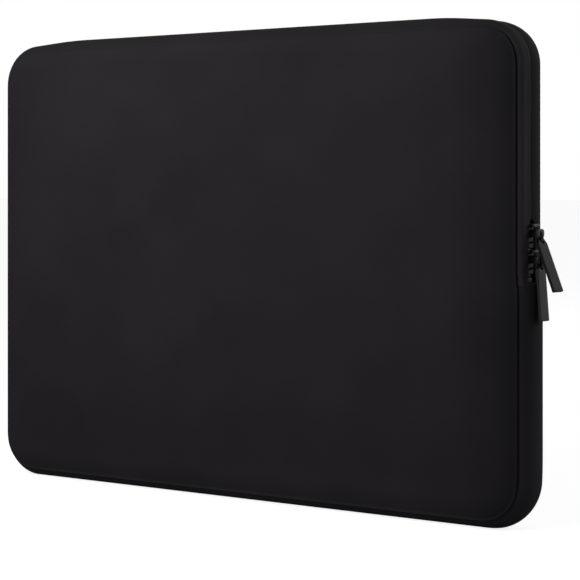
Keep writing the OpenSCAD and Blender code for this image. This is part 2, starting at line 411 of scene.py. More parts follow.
def knit_material(name, axis, start, end, near, far, top=None):
    """Matte laminated knit: fine stitches, slight mottling and a faint sheen. Its brightness goes from near
    to far between start and end on an axis (for Y, on both sides) and can be another along the top edge; this
    brightness gradient and the top value are painted shade."""
    tint = (1.06, 0.93, 1.12)
    nodes = Nodes(bpy.data.materials.new(name))
    place, uv = nodes.place(), nodes.cloth()
    stitches = knit_height(nodes, uv, 0.55)
    fuzz = nodes.noise(place, 2600, 3.0, 0.6)
    mottle = nodes.noise(place, 28, 4.0, 0.55)
    broad = nodes.noise(place, 7, 2.0)
    axes = nodes.split(place)
    # Painted shade: the knit's brightness ramps from near to far along the axis
    along = nodes.math("ABSOLUTE", axes["Y"]) if axis == "Y" else axes[axis]
    painted_shade_ramp = nodes.ramp(along, start * MM, end * MM)
    dark = nodes.mix(painted_shade_ramp, shade(near * 0.80, tint), shade(far * 0.80, tint))
    light = nodes.mix(painted_shade_ramp, shade(near * 1.22, tint), shade(far * 1.22, tint))
    # Painted shade: along the top edge the brightness is set to top, dimming the strip that the light from
    # above brightens
    if top:
        on_top = nodes.ramp(axes["Z"], HIGH_CORNER_Z * MM, TOP_Z * MM)
        dark = nodes.mix(on_top, dark, shade(top * 0.80, tint))
        light = nodes.mix(on_top, light, shade(top * 1.22, tint))
    tone = nodes.math("ADD", nodes.math("MULTIPLY", mottle, 0.45), nodes.math("MULTIPLY", broad, 0.55))
    colour = nodes.mix(nodes.ramp(tone, 0.3, 0.7), dark, light)
    stitch_shadow = nodes.spread(stitches, 0.78, 1.06)
    colour = nodes.mix(nodes.math("SUBTRACT", 1.0, stitch_shadow), colour, shade(0.002))
    normal = nodes.bump(fuzz, 0.25, 0.12, nodes.bump(stitches, 0.5, 0.10))
    return nodes.finish(
        Base_Color=colour, Roughness=nodes.spread(fuzz, 0.72, 0.92), Normal=normal,
        Specular_IOR_Level=0.12, Sheen_Weight=0.01, Sheen_Roughness=0.45, Sheen_Tint=shade(0.75, tint),
    )


def plush_material(name, brightness, tint):
    """Brushed lining with a short nap."""
    nodes = Nodes(bpy.data.materials.new(name))
    place = nodes.place()
    nap = nodes.noise(place, 1500, 5.0, 0.7)
    stroke = nodes.noise(place, 45, 3.0, 0.6)
    dark, light = shade(brightness * 0.8, tint), shade(brightness * 1.25, tint)
    colour = nodes.mix(nodes.ramp(stroke, 0.3, 0.7), dark, light)
    colour = nodes.mix(nodes.math("MULTIPLY", nap, 0.35), colour, shade(brightness * 0.35, tint))
    return nodes.finish(
        Base_Color=colour, Roughness=0.95, Normal=nodes.bump(nap, 0.8, 0.35, nodes.bump(stroke, 0.15, 1.5)),
        Specular_IOR_Level=0.1, Sheen_Weight=0.6, Sheen_Roughness=0.35, Sheen_Tint=shade(0.8, tint),
    )


def tape_material(name, brightness, pitch_mm=0.45):
    """Woven tape with diagonal ribs and a little loose fibre."""
    nodes = Nodes(bpy.data.materials.new(name))
    place, uv = nodes.place(), nodes.cloth()
    ribs = twill_height(nodes, uv, pitch_mm)
    fibre = nodes.noise(place, 1800, 3.0)
    colour = nodes.mix(ribs, shade(brightness * 0.45), shade(brightness * 1.3))
    colour = nodes.mix(nodes.math("MULTIPLY", fibre, 0.3), colour, shade(brightness * 1.8))
    return nodes.finish(
        Base_Color=colour, Roughness=nodes.spread(fibre, 0.6, 0.85), Specular_IOR_Level=0.35,
        Normal=nodes.bump(fibre, 0.2, 0.08, nodes.bump(ribs, 0.7, 0.12)), Sheen_Weight=0.15,
    )


def foam_material(name, brightness):
    """Closed-cell foam."""
    nodes = Nodes(bpy.data.materials.new(name))
    place = nodes.place()
    cells = nodes.voronoi(place, 900)
    large = nodes.voronoi(place, 320)
    colour = nodes.mix(nodes.ramp(cells, 0.1, 0.7), shade(brightness * 0.55), shade(brightness * 1.2))
    return nodes.finish(
        Base_Color=colour, Roughness=0.9, Specular_IOR_Level=0.2,
        Normal=nodes.bump(large, 0.3, 0.5, nodes.bump(cells, 0.8, 0.3)),
    )


def plastic_material(name, brightness):
    """Nylon monofilament: smooth, with faint drawn lines."""
    nodes = Nodes(bpy.data.materials.new(name))
    place = nodes.place()
    grain = nodes.noise(place, 900, 2.0)
    colour = nodes.mix(grain, shade(brightness * 0.7), shade(brightness * 1.3))
    return nodes.finish(
        Base_Color=colour, Roughness=nodes.spread(grain, 0.30, 0.5),
        Specular_IOR_Level=0.5, Normal=nodes.bump(grain, 0.15, 0.03),
    )


def enamel_material(name, dark, brightness, gloss, direction, start, end):
    """Matte enamel on cast zinc: fine orange peel, rubbed brighter on edges. Painted shade: it is dark and
    dull before start on an axis and bright and glossy after end."""
    nodes = Nodes(bpy.data.materials.new(name))
    place = nodes.place()
    peel = nodes.noise(place, 1400, 3.0)
    patch = nodes.noise(place, 160, 4.0, 0.6)
    # Painted shade: a ramp that keeps the paint dark and dull on the shaded side and bright and glossy on the
    # lit side
    painted_lighting = nodes.ramp(nodes.split(place)[direction], start * MM, end * MM)
    edge = nodes.add("ShaderNodeNewGeometry").outputs["Pointiness"]
    rubbed = nodes.math("MULTIPLY", nodes.ramp(edge, 0.52, 0.64), nodes.ramp(patch, 0.35, 0.75))
    colour = nodes.mix(nodes.ramp(patch, 0.3, 0.7), shade(brightness * 0.85), shade(brightness * 1.15))
    colour = nodes.mix(painted_lighting, shade(dark), colour)
    colour = nodes.mix(nodes.math("MULTIPLY", rubbed, 0.06), colour, shade(0.12))
    return nodes.finish(
        Base_Color=colour, Roughness=nodes.spread(patch, 0.45, 0.6),
        Specular_IOR_Level=nodes.spread(painted_lighting, 0.08, gloss),
        Normal=nodes.bump(patch, 0.1, 0.1, nodes.bump(peel, 0.25, 0.04)),
    )


# Painted shade: the cover's paint darkens towards its right end and the strips' paint darkens towards their
# middle; the front and rear facings are lit and shaded copies of one knit, and the front facing is painted
# darker along the top
COVER = knit_material("cover_knit", "X", SEAM_X - 38, SEAM_X, 0.020, 0.0110)
GUSSET = knit_material("gusset_knit", "Y", 2.5, 11, 0.016, 0.028)
FRONT_FACING = knit_material("front_facing_knit", "Y", 2.5, 11.5, 0.0050, 0.044, top=0.0175)
REAR_FACING = knit_material("rear_facing_knit", "Y", 2.5, 11, 0.0105, 0.028)
LINING = plush_material("lining_plush", 0.045, (1.0, 1.0, 1.03))
FOAM = foam_material("foam", 0.30)
BINDING = tape_material("binding_tape", 0.030, 0.8)
TAPE = tape_material("zip_tape", 0.020)
COIL = plastic_material("zip_coil", 0.008)
# Painted shade: the slider's paint is darker nearer the sleeve and each pull's paint is darker at its head by
# the bridge; the upper pull's enamel is painted darker than the lower's, as lit and shaded copies of one
# finish
SLIDER = enamel_material("slider_enamel", 0.028, 0.034, 0.3, "X", SEAM_X + 2.6, SEAM_X + 4.6)
UPPER_PULL = enamel_material("upper_pull_enamel", 0.004, 0.0088, 0.0725, "Z",
                             UPPER_AXIS.z - 1.1, UPPER_AXIS.z - 1.9)
LOWER_PULL = enamel_material("lower_pull_enamel", 0.004, 0.019, 0.2, "Z",
                             LOWER_AXIS.z - 1.4, LOWER_AXIS.z - 2.2)


def hand_over(obj, material, nodes, body=None):
    """Paints a finished piece, shows it instead of its CAD nodes and lets it move with a body. Without a body
    it runs from the lower half into the flap and its placement is baked into its mesh."""
    obj.data.materials.clear()
    obj.data.materials.append(material)
    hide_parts(*nodes)
    if body:
        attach(obj, body)
    else:
        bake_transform(obj)


# ---- padded panels ----

PANEL_CELL = 4.0
# The turned-in edges of a panel and the gusset lie against each other beside this plane
SEAM_PLANE_Y = SEAM_Y
SEAM_GAP = 0.06
ALLOWANCE = 6.0
COVER_T = 1.0
# Width over which a panel's face rolls down to its edge, and how far it drops before it rounds over
ROLL_W = 15.0
EDGE_IN = 1.3
EDGE_DROP = 3.1


def face_height(inset):
    """How far a panel's face drops at a distance inside the seam line."""
    width = ROLL_W - EDGE_IN
    x = np.clip(ROLL_W - np.asarray(inset, float), 0, width) / width
    return EDGE_DROP * x ** 2.4


def cover_profile():
    """Outer face of a panel from its flat middle, over the rounded edge and back into the seam,
    as (outward offset, distance from the middle plane)."""
    insets = np.array([CORNER_R, 18, 15, 12, 9.2, 6.6, 4.6, 3.2, 2.1, EDGE_IN])
    face = np.stack([-insets, FACE_Y - face_height(insets)], 1)
    edge_y = FACE_Y - EDGE_DROP
    inner_y = SEAM_PLANE_Y + SEAM_GAP
    over = bezier([(-EDGE_IN, edge_y), (0.0, edge_y - 0.72), (0.6, inner_y), (-1.3, inner_y)], 8)[1:]
    return np.concatenate([face, over, [(-2.8, inner_y), (-ALLOWANCE, inner_y)]])


def corner_fan(grid_index, start_deg, steps):
    """The points of an arc that all spring from one corner of the grid."""
    angles = [math.radians(start_deg + 90 * i / steps) for i in range(1, steps)]
    return [(grid_index, (math.cos(a), math.sin(a))) for a in angles]


def panel_grid(profile, y_sign, closed=False):
    """A sheet shaped like a rounded rectangle: a grid in the middle and rings of the profile round it.
    If closed, the profile's last point is the plane of a second grid that closes the back.
    Returns points, faces and how far each point is inside the seam line."""
    nx = int(round(2 * STRAIGHT_X / PANEL_CELL))
    nz = int(round((HIGH_CORNER_Z - LOW_CORNER_Z) / PANEL_CELL))
    arc_steps = int(round(math.pi / 2 * CORNER_R / PANEL_CELL))
    xs = np.linspace(-STRAIGHT_X, STRAIGHT_X, nx + 1)
    zs = np.linspace(LOW_CORNER_Z, HIGH_CORNER_Z, nz + 1)
    row = nx + 1
    verts = [(x, y_sign * profile[0][1], z) for z in zs for x in xs]
    grid_faces = [(k * row + i, k * row + i + 1, (k + 1) * row + i + 1, (k + 1) * row + i)
                  for k in range(nz) for i in range(nx)]
    inset = [CORNER_R] * len(verts)
    # The walk round the grid's border: grid index and outward direction of each point
    border = [(i, (0, -1)) for i in range(row)]
    border += corner_fan(nx, 270, arc_steps)
    border += [(k * row + nx, (1, 0)) for k in range(nz + 1)]
    border += corner_fan(nz * row + nx, 0, arc_steps)
    border += [(nz * row + i, (0, 1)) for i in range(nx, -1, -1)]
    border += corner_fan(nz * row, 90, arc_steps)
    border += [(k * row, (-1, 0)) for k in range(nz, -1, -1)]
    border += corner_fan(0, 180, arc_steps)
    faces = list(grid_faces)
    rings = profile[1:-1] if closed else profile[1:]
    previous = [b[0] for b in border]
    for o, y in rings:
        current = list(range(len(verts), len(verts) + len(border)))
        for grid_index, direction in border:
            gx, _, gz = verts[grid_index]
            reach = CORNER_R + o
            verts.append((gx + direction[0] * reach, y_sign * y, gz + direction[1] * reach))
            inset.append(-o)
        faces += ring_faces(previous, current)
        previous = current
    if closed:
        back = len(verts)
        verts += [(x, y_sign * profile[-1][1], z) for z in zs for x in xs]
        inset += [CORNER_R] * (len(verts) - back)
        faces += ring_faces(previous, [back + b[0] for b in border])
        faces += [tuple(back + i for i in reversed(f)) for f in grid_faces]
    return np.array(verts), faces, np.array(inset)


def ring_faces(inner, outer):
    """Faces between two rings of equal length; a quad with a doubled point becomes a triangle."""
    faces = []
    for j in range(len(inner)):
        k = (j + 1) % len(inner)
        corners = [inner[j], inner[k], outer[k], outer[j]]
        faces.append(tuple(dict.fromkeys(corners)))
    return faces


def puff(obj, pinned, pressure, cap, frames=20):
    """Runs a short cloth simulation with air pressure inside and keeps the result.
    pinned says which vertices stay, and no vertex moves further than cap mm."""
    rest = coords(obj)
    group = obj.vertex_groups.new(name="pinned")
    group.add(np.flatnonzero(pinned).tolist(), 1.0, "REPLACE")
    cloth = obj.modifiers.new("cloth", "CLOTH")
    settings = cloth.settings
    settings.quality = 6
    settings.mass = 0.25
    settings.tension_stiffness = settings.compression_stiffness = 25
    settings.shear_stiffness = 12
    settings.bending_stiffness = 1.5
    settings.use_pressure = True
    settings.uniform_pressure_force = pressure
    settings.vertex_group_mass = "pinned"
    settings.effector_weights.gravity = 0
    cloth.point_cache.frame_end = frames
    for number in range(1, frames + 1):
        bpy.context.scene.frame_set(number)
    apply_modifiers(obj)
    obj.vertex_groups.clear()
    moved = evened(obj, coords(obj) - rest, pinned, rounds=40)
    length = np.linalg.norm(moved, axis=1)
    limited = cap * np.tanh(length / cap) / np.maximum(length, 1e-9)
    set_coords(obj, rest + moved * limited[:, None])
    bpy.context.scene.frame_set(1)


def evened(obj, values, pinned, rounds):
    """Spreads a value at each vertex over its neighbours; pinned vertices stay at zero."""
    ends = np.zeros(len(obj.data.edges) * 2, int)
    obj.data.edges.foreach_get("vertices", ends)
    a, b = ends.reshape(-1, 2).T
    count = np.bincount(ends, minlength=len(values))[:, None]
    free = ~pinned[:, None]
    for _ in range(rounds):
        total = np.zeros_like(values)
        np.add.at(total, a, values[b])
        np.add.at(total, b, values[a])
        values = free * (0.4 * values + 0.6 * total / count)
    return values


def blown_cover(y_sign):
    """Points and faces of a panel's cover after air pressure has crowned it."""
    profile = cover_profile()
    profile[:, 1] -= 0.7 * np.clip((-profile[:, 0] - 3) / 14, 0, 1)
    closing = np.array([(-CORNER_R, SEAM_Y - 0.8)])
    verts, faces, inset = panel_grid(np.concatenate([profile, closing]), y_sign, closed=True)
    pillow = make_object("pillow", verts, faces)
    puff(pillow, np.abs(verts[:, 1]) < SEAM_Y + 1.2, pressure=1.2, cap=1.3)
    verts = coords(pillow)
    bpy.data.objects.remove(pillow)
    _, sheet_faces, sheet_inset = panel_grid(profile, y_sign)
    return verts[:len(sheet_inset)], sheet_faces, sheet_inset


def thicken(obj, thickness):
    """Gives a sheet thickness on its inner side."""
    modifier = obj.modifiers.new("thickness", "SOLIDIFY")
    modifier.thickness = thickness * MM
    modifier.offset = -1
    return apply_modifiers(obj)


def build_cover(name, y_sign, seed):
    """A panel's knitted cover, with its edges turned into the seam."""
    points, faces, inset = blown_cover(y_sign)
    # Very shallow unevenness of laminated cloth, fading out towards the seam
    calm = np.clip((inset - 1) / 14, 0, 1)
    points[:, 1] += y_sign * calm * (0.10 * ripple(points, 60, seed) + 0.03 * ripple(points, 19, seed + 3))
    fill_lower_end(points)
    cover = make_object(name, points, faces, points[:, [0, 2]])
    facing = sum((p.normal * p.area for p in cover.data.polygons), Vector())
    if facing.y * y_sign < 0:
        cover.data.flip_normals()
    subdivide(cover, 1)
    return thicken(cover, COVER_T)


def build_core(name, y_sign):
    """The foam sheet under a cover."""
    insets = np.array([CORNER_R, 16, 12.5, 10, CORE_INSET + 0.6])
    skin = COVER_T + 0.7
    face = np.stack([-insets, FACE_Y - face_height(insets) - skin], 1)
    side_y = (face[-1, 1] + FOAM_FACE_Y) / 2
    back_y = FOAM_FACE_Y + 0.05
    rest = [(-CORE_INSET, face[-1, 1] - 0.6), (-CORE_INSET, side_y), (-CORE_INSET, back_y + 0.6),
            (-CORE_INSET - 0.6, back_y), (-CORNER_R + 5, back_y), (-CORNER_R, back_y)]
    verts, faces, _ = panel_grid(np.concatenate([face, rest]), y_sign, closed=True)
    uvs = verts[:, [0, 2]]
    fill_lower_end(verts)
    return make_object(name, verts, faces, uvs)


def build_lining(name, y_sign, seed):
    """The lining on a panel's inner side: a soft sheet with a rounded edge."""
    out_y, in_y = FOAM_FACE_Y - 0.05, LINING_FACE_Y
    middle = (out_y + in_y) / 2
    flat = -CORNER_R + 8
    profile = [(-CORNER_R, out_y), (flat, out_y), (-CORE_INSET - 0.5, out_y), (-CORE_INSET, middle),
               (-CORE_INSET - 0.5, in_y + 0.1), (-CORE_INSET - 4, in_y), (flat, in_y), (-CORNER_R, in_y)]
    verts, faces, inset = panel_grid(np.array(profile), y_sign, closed=True)
    inner = np.abs(verts[:, 1]) < middle
    calm = np.clip((inset - CORE_INSET) / 10, 0, 1)
    verts[:, 1] -= inner * y_sign * calm * 0.25 * (1 + ripple(verts, 30, seed))
    uvs = verts[:, [0, 2]]
    fill_lower_end(verts)
    return subdivide(make_object(name, verts, faces, uvs), 1)


def build_panel(word, y_sign, seed, body, *cad_words):
    """A panel's cover, foam and lining."""
    cover = build_cover(word + "_panel", y_sign, seed)
    hand_over(cover, COVER, [cad + "_panel" for cad in cad_words], body)
    core = build_core(word + "_foam_core", y_sign)
    hand_over(core, FOAM, [cad + "_foam" for cad in cad_words], body)
    lining = build_lining(word + "_inner_lining", y_sign, seed + 4)
    hand_over(lining, LINING, [cad + "_lining" for cad in cad_words], body)


# ---- gusset and zip facings ----

GUSSET_T = 2.6
FACING_T = 1.8
LIP_T = 1.1
EDGE_T = 0.8
TURN_Y = SEAM_Y - 1.8
# The facings lie nearly flat down the sides and stand up as a ridge along the top
SIDE_RISE = 2.6
TOP_RISE = UPPER_BULGE + 1.7
# The ridge rises from this far into a top corner, over this length
TOP_FROM = 18.0
TOP_OVER = 52.0
SLIT_HALF = 0.55
PARTED_HALF = 4.6
# Where the slit starts to close above the parked sliders and where it is closed, from the zip's end
PARTED_TO = 31.5
CLOSED_FROM = 35.5
# The lower gusset's hem laps over the ends of the facings by this much
HEM_LAP = 1.2
STITCH_PITCH = 3.2


def arched(rise, power, y):
    """Outward offset at y of a strip that starts from both seams and stands up between them."""
    return rise * (1 - (np.abs(y) / SEAM_Y) ** power)


def seam_turn(rise, power):
    """From inside the seam, round the turned edge and onto the face, on the +Y side."""
    y_in = SEAM_PLANE_Y - SEAM_GAP
    o, below = arched(rise, power, np.array([TURN_Y, TURN_Y + 0.1]))
    slope = (o - below) / 0.1
    turn = bezier([(-1.4, y_in), (-0.1, y_in), (o - slope * 0.9, TURN_Y + 0.9), (o, TURN_Y)], 9)
    return np.concatenate([[(-ALLOWANCE, y_in), (-3, y_in)], turn])


def seam_thickness(count, full):
    """The edge is pressed thin inside the seam and reaches its full thickness on the face."""
    rising = np.array([0, 0, 0, 0.05, 0.12, 0.25, 0.4, 0.55, 0.7, 0.85, 1.0])
    t = np.ones(count)
    t[:len(rising)] = rising
    return EDGE_T + (full - EDGE_T) * t


def pucker(s, y):
    """Gathers beside the seam, as a small change of offset."""
    near = np.exp(-(SEAM_Y - np.abs(y)) / 1.6)
    return 0.10 * near * np.sin(2 * math.pi * s / STITCH_PITCH)


def rounded_toward_end(face, thickness, end):
    """Draws a wall in to a rounded edge as it nears its end."""
    radius = thickness / 2
    x = np.clip(1 - end / radius, 0, 1)
    shrink = radius * (1 - np.sqrt(1 - x * x * 0.999))
    _, normal = side_normals(face)
    return face - normal * shrink[:, None], thickness - 2 * shrink


def lower_gusset_profile(s, end):
    power = 2.6
    side = seam_turn(LOWER_BULGE, power)
    y = np.linspace(TURN_Y, -TURN_Y, 25)[1:-1]
    face = np.concatenate([side, np.stack([arched(LOWER_BULGE, power, y), y], 1), side[::-1] * (1, -1)])
    t = seam_thickness(len(face), GUSSET_T)
    t = np.minimum(t, t[::-1])
    face[:, 0] += pucker(s, face[:, 1])
    face, t = rounded_toward_end(face, t, end)
    return wall(face, t)


def facing_section(s, end):
    """A zip facing's section on the +Y side, from the seam to its lip beside the slit."""
    parked = 1 - smooth_step((end - PARTED_TO) / (CLOSED_FROM - PARTED_TO))
    lip = SLIT_HALF + (PARTED_HALF - SLIT_HALF) * parked
    lip += (1 - parked) * (0.08 * math.sin(s / 9.0) + 0.05 * math.sin(s / 4.3 + 1))
    on_top = smooth_step((end - (HIGH_CORNER_Z - FOLD_Z) - TOP_FROM) / TOP_OVER)
    rise = SIDE_RISE + (TOP_RISE - SIDE_RISE) * on_top
    power = 8.0 - 5.5 * on_top
    side = seam_turn(rise, power)
    y = np.linspace(TURN_Y, lip, 17)[1:]
    face = np.concatenate([side, np.stack([arched(rise, power, y), y], 1)])
    face[:, 0] += pucker(s, face[:, 1])
    # The lip sinks a little towards the tape
    at_lip = np.exp(-np.square((face[:, 1] - lip) / 2.4))
    face[:, 0] -= 0.45 * at_lip
    t = seam_thickness(len(face), FACING_T)
    t = np.minimum(t, FACING_T - (FACING_T - LIP_T) * (1 - on_top) * smooth_step((8 - face[:, 1]) / 3))
    return wall(face, t, round_end=True)


def settle_on_floor(obj):
    """Presses the lowest stretch of a soft piece flat against the floor, z = 0."""
    points = coords(obj)
    softness = 0.6
    z = points[:, 2]
    points[:, 2] = 0.5 * (z + np.sqrt(z * z + softness * softness))
    set_coords(obj, points)


def build_gusset():
    gusset = sweep("lower_side_gusset", "hem", 0.8, lower_gusset_profile)
    settle_on_floor(gusset)
    hand_over(gusset, GUSSET, ["lower_gusset"], "root")


def build_pair(word, part, step, section, rear_nodes, front_nodes, materials):
    """A strip along a part of the outline behind the middle plane, and its mirror image in front of it."""
    rear = sweep("rear_" + word, part, step, section)
    hand_over(rear, materials[0], rear_nodes, "root")
    front = sweep("front_" + word, part, step, lambda s, end: section(s, end) * (1, -1))
    hand_over(front, materials[-1], front_nodes)


def build_gusset_lining():
    """The thin lining on the gusset's inner side."""
    half = FOAM_FACE_Y - 0.6
    skin = GUSSET_T + 0.45

    def profile(s, end):
        y = np.linspace(half, -half, 21)
        face = np.stack([arched(LOWER_BULGE, 2.6, y) - skin + 0.15 * math.sin(s / 11), y], 1)
        t = np.full(len(face), 0.8)
        face, t = rounded_toward_end(face, t, end)
        return wall(face, t, round_end=True, round_start=True)

    lining = sweep("lower_gusset_inner_lining", "lower", 2.5, profile)
    hand_over(lining, LINING, ["lower_gusset_lining"], "root")


def binding_section(s, end):
    """A tape folded round the two pressed edges inside a seam, on the +Y side."""
    low, high, reach = SEAM_PLANE_Y - 1.9, SEAM_PLANE_Y - 0.3, 8.0
    out = -5.3
    face = bezier([(out, high), (-reach - 0.4, high + 0.15), (-reach - 0.4, low - 0.15), (out, low)], 15)
    face = np.concatenate([[(out + 0.01, high)], face[1:-1], [(out + 0.01, low)]])
    face[:, 0] += 0.06 * math.sin(2 * math.pi * s / STITCH_PITCH)
    return wall(face[::-1], 0.4)


# ---- zip ----

TEETH_PITCH = 1.5
COIL_WIRE = 0.34


def tape_section(s, end):
    """One zip tape on the +Y side, lying against the facing at its outer edge."""
    out, inner, outer = TAPE_OUT, TAPE_LOW.y, TAPE_HIGH.y
    line = bezier([(out, inner), (out, inner + 3), (out, outer - 2), (out + 0.35, outer)], 12)
    return wall(line[::-1], 0.5)


def coil_mesh(name, y_sign, phase):
    """A row of zip coil: a flattened spiral of wire whose loops reach past the middle."""
    points, normals, distance = path("upper", 2.0)
    start, stop = 4.0, distance[-1] - 4.0
    turns = int((stop - start) / TEETH_PITCH)
    per_turn, sides = 12, 5
    steps = np.arange(turns * per_turn + 1)
    angle = 2 * math.pi * steps / per_turn + phase
    s = start + (steps / per_turn) * TEETH_PITCH
    # Loops lean so that both legs lie across the tape and the heads stand at the middle
    out = TAPE_OUT + 0.5 + 0.25 * np.sin(angle)
    across = 1.0 - 1.25 * np.cos(angle)
    s = s + 0.22 * np.sin(2 * angle)
    x, z = (np.interp(s, distance, points[:, i]) for i in (0, 1))
    normal_x, normal_z = (np.interp(s, distance, normals[:, i]) for i in (0, 1))
    line = np.stack([x + normal_x * out, y_sign * across, z + normal_z * out], 1)
    tangent = np.gradient(line, axis=0)
    tangent /= np.linalg.norm(tangent, axis=1)[:, None]
    outward = np.stack([normal_x, np.zeros(len(s)), normal_z], 1)
    side = np.cross(tangent, outward)
    side /= np.linalg.norm(side, axis=1)[:, None]
    up = np.cross(side, tangent)
    ring = 2 * math.pi * np.arange(sides) / sides
    verts = line[:, None, :] + COIL_WIRE * (side[:, None, :] * np.cos(ring)[None, :, None]
                                            + up[:, None, :] * np.sin(ring)[None, :, None])
    return make_object(name, verts.reshape(-1, 3), tube_faces(len(line), sides))


def build_coil():
    rear = coil_mesh("rear_coil_row", 1, 0.0)
    hand_over(rear, COIL, ["rear_zip_coil"], "root")
    front = coil_mesh("front_coil_row", -1, math.pi)
    hand_over(front, COIL, ["front_zip_coil"])


def plate(name, outline, thickness, bevel, holes=()):
    """A flat plate in the local XY plane with rounded edges, from closed outlines in mm."""
    curve = bpy.data.curves.new(name, "CURVE")
    curve.dimensions = "2D"
    curve.fill_mode = "BOTH"
    curve.extrude = (thickness / 2 - bevel) * MM
    curve.bevel_depth = bevel * MM
    curve.bevel_resolution = 2
    curve.offset = -bevel * MM
    for loop in (outline, *holes):
        spline = curve.splines.new("POLY")
        spline.points.add(len(loop) - 1)
        spline.points.foreach_set("co", np.concatenate(
            [np.asarray(loop) * MM, np.zeros((len(loop), 1)), np.ones((len(loop), 1))], 1).ravel())
        spline.use_cyclic_u = True
    holder = bpy.data.objects.new(name, curve)
    bpy.context.scene.collection.objects.link(holder)
    bpy.context.view_layer.update()
    mesh = bpy.data.meshes.new_from_object(holder.evaluated_get(bpy.context.evaluated_depsgraph_get()))
    bpy.data.objects.remove(holder)
    bm = bmesh.new()
    bm.from_mesh(mesh)
    bmesh.ops.remove_doubles(bm, verts=bm.verts, dist=1e-6)
    bmesh.ops.recalc_face_normals(bm, faces=bm.faces)
    bm.to_mesh(mesh)
    bm.free()
    obj = bpy.data.objects.new(name, mesh)
    bpy.context.scene.collection.objects.link(obj)
    return obj


def rounded_outline(corners, radius, steps=6):
    """A closed outline through corners, each rounded by its radius."""
    corners = [Vector(c) for c in corners]
    radii = radius if isinstance(radius, (list, tuple)) else [radius] * len(corners)
    points = []
    for i, corner in enumerate(corners):
        before, after = corners[i - 1], corners[(i + 1) % len(corners)]
        a, b = (before - corner).normalized(), (after - corner).normalized()
        half = a.angle(b) / 2
        back = min(radii[i] / math.tan(half), (before - corner).length / 2.01, (after - corner).length / 2.01)
        points += bezier([tuple(corner + a * back), tuple(corner), tuple(corner + b * back)], steps).tolist()
    return points


def rectangle(x0, y0, x1, y1):
    return [(x0, y0), (x1, y0), (x1, y1), (x0, y1)]


def from_matrix(columns, origin):
    """A placement from local x, y and z directions and an origin in mm."""
    m = Matrix.Identity(4)
    for i, column in enumerate(columns):
        for j in range(3):
            m[j][i] = column[j]
    m.translation = Vector(origin) * MM
    return m


def facing_out(x, y, z):
    """A placement whose local x is the frame's y, local y is up and local z points out of the side."""
    return from_matrix(((0, 1, 0), (0, 0, 1), (1, 0, 0)), (x, y, z))


def build_slider(name, node, axis):
    """A die-cast slider: two waisted plates with a post between them, rails, a nose ridge and a bridge."""
    low, high = box_mm(node)
    bottom, top = low.z - axis.z, high.z - axis.z
    middle, half = (top + bottom) / 2, (top - bottom) / 2
    wide, waist, tail = 4.1, 3.3, 3.0
    corners = [(-tail, -half), (tail, -half), (waist, 0.2), (wide, half - 2.4), (wide - 1.0, half),
               (-wide + 1.0, half), (-wide, half - 2.4), (-waist, 0.2)]
    radii = [1.3, 1.3, 3.0, 1.5, 1.2, 1.2, 1.5, 3.0]
    outline = [(x, middle + y) for x, y in rounded_outline(corners, radii)]
    parts = []

    def add(word, shape, out, thick, bevel):
        part = plate(name + word, shape, thick, bevel)
        part.matrix_world = facing_out(SEAM_X + out, axis.y, axis.z)
        parts.append(part)

    add("_outer_plate", outline, out=1.24, thick=0.82, bevel=0.22)
    add("_inner_plate", outline, out=-1.6, thick=0.8, bevel=0.22)
    rail = rounded_outline(rectangle(-0.3, bottom + 1.4, 0.3, top - 3.4), 0.25, 4)
    for side in (-1, 1):
        beside = [(side * (waist - 0.35) + x, y) for x, y in rail]
        add("_rail", beside, out=0.7, thick=0.5, bevel=0.12)
    post = rounded_outline(rectangle(-0.5, top - 4, 0.5, top - 0.4), 0.45, 5)
    add("_post", post, out=-0.2, thick=3.2, bevel=0.1)
    crown = rounded_outline(rectangle(-3.9, 0.8, 3.9, 5.6), 2.3, 8)
    add("_crown", crown, out=axis.x - SEAM_X + 0.1, thick=1.2, bevel=0.45)
    # In side view: the stem and cap of the nose, and the web that fills the bridge above the pull
    stem = [(1.2, top - 2.2), (4.4, top - 1.9), (4.4, top - 0.3), (1.2, top)]
    nose = [(3.3, top - 2.1), (5.2, top - 1.9), (5.2, top - 0.1), (3.3, top)]
    web = rectangle(1.2, 0.95, high.x - SEAM_X - 0.5, 4.7)
    for word, corners, radius, thick, bevel in (
        ("_stem", stem, 0.3, 2.2, 0.2),
        ("_nose", nose, 0.7, 6.8, 0.5),
        ("_web", web, 0.2, 1.9, 0.15),
    ):
        part = plate(name + word, rounded_outline(corners, radius), thick, bevel)
        part.matrix_world = from_matrix(((1, 0, 0), (0, 0, 1), (0, -1, 0)), (SEAM_X, axis.y, axis.z))
        parts.append(part)
    parts.append(build_bridge(name, axis, high.x - axis.x))
    return smooth_by_angle(join(name, parts))


def build_bridge(name, axis, outer):
    """The arch that holds the pull: a bar that rises from the plate, widens over the pull and comes down."""
    foot = SEAM_X + 1.2 - axis.x
    bar = 0.36
    out = outer - bar
    low, high = -1.6, 4.95
    line = np.concatenate([
        [(low, foot), (low, foot * 0.6)],
        bezier([(low, -0.5), (low, out * 0.96), (-0.2, out), (1.0, out)], 12),
        bezier([(1.6, out), (high - 0.6, out), (high, out * 0.4), (high, -1.4)], 12),
        [(high, foot * 0.6), (high, foot)],
    ])
    tangent, normal = side_normals(line)
    # Widest over the pull and slimmer towards the nose
    half_width = 0.7 + 0.35 * np.exp(-np.square((line[:, 0] + 0.6) / 1.6))
    half_depth = bar + 0.24 * smooth_step((low + 1.2 - line[:, 0]) / 1.0)
    verts = []
    sides = 16
    for p, n, w, d in zip(line, normal, half_width, half_depth):
        for k in range(sides):
            a = 2 * math.pi * k / sides
            c, si = math.cos(a), math.sin(a)
            grow = (abs(c) ** 3 + abs(si) ** 3) ** (-1 / 3)
            verts.append((axis.x + p[1] + n[1] * d * si * grow, axis.y + w * c * grow,
                          axis.z + p[0] + n[0] * d * si * grow))
    return make_object(name + "_bridge", verts, tube_faces(len(line), sides))


PULL_LENGTH = 29.6
PULL_T = 1.6
UPPER_PULL_ANGLE = 22
LOWER_PULL_ANGLE = 4.5


